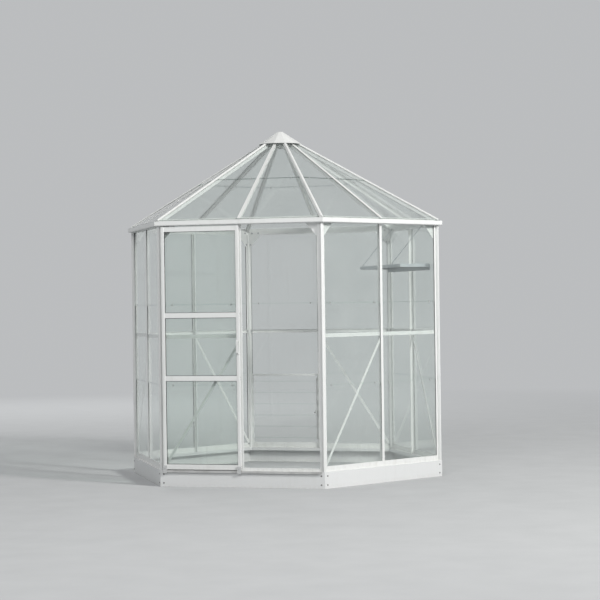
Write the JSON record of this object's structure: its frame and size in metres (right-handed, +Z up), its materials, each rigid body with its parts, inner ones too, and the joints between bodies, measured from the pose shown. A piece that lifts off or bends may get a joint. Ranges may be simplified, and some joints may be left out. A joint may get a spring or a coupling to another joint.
{
  "type": "hexagonal glass greenhouse",
  "caption": "Hexagonal garden greenhouse of white aluminium bars and lapped glass panes, with a sliding door, a louvre window, a gutter and a pointed roof cap.",
  "frame": {"origin": "plan centre of the hexagon at ground level", "axes": "+Z up, -Y towards the doorway side, +X to the right seen from the front"},
  "size_m": [2.624, 2.2872, 2.7351],
  "materials": {
    "white_frame": "satin white powder coat",
    "glass": "clear float glass, a little green",
    "plinth": "matt light grey-white coat, dusty",
    "bare_metal": "mill finish, dull",
    "nylon": "mid grey nylon",
    "handle": "white plastic",
    "shelf": "pale grey coat"
  },
  "bodies": {
    "house": {"braces": "white_frame", "corner_post_back_left": "white_frame", "corner_post_back_right": "white_frame", "corner_post_front_left": "white_frame", "corner_post_front_right": "white_frame", "corner_post_left": "white_frame", "corner_post_right": "white_frame", "crown_ring": "white_frame", "eave_gutter_back": "white_frame", "eave_gutter_back_left": "white_frame", "eave_gutter_back_right": "white_frame", "eave_gutter_front": "white_frame", "eave_gutter_front_left": "white_frame", "eave_gutter_front_right": "white_frame", "girts": "white_frame", "guide_rail": "bare_metal", "gussets": "white_frame", "hip_rafters": "white_frame", "louvre_blades": "glass", "louvre_frame": "white_frame", "middle_rafters": "white_frame", "mullions": "white_frame", "plinth_back": "plinth", "plinth_back_left": "plinth", "plinth_back_right": "plinth", "plinth_front": "plinth", "plinth_front_left": "plinth", "plinth_front_right": "plinth", "roof_cap": "white_frame", "roof_glass_lower": "glass", "roof_glass_upper": "glass", "shelf_board": "shelf", "shelf_supports": "shelf", "sills": "white_frame", "track_stops": "nylon", "wall_glass_lower": "glass", "wall_glass_middle": "glass", "wall_glass_upper": "glass"},
    "door": {"door_glass": "glass", "door_handle": "handle", "door_hangers": "bare_metal", "door_rails": "white_frame", "door_shoes": "nylon", "door_stiles": "white_frame", "door_wheels": "nylon"}
  },
  "joints": [
    {"name": "door_slide", "type": "slide", "parent": "house", "child": "door", "axis": [1, 0, 0], "range_m": [0, 0.615]}
  ]
}
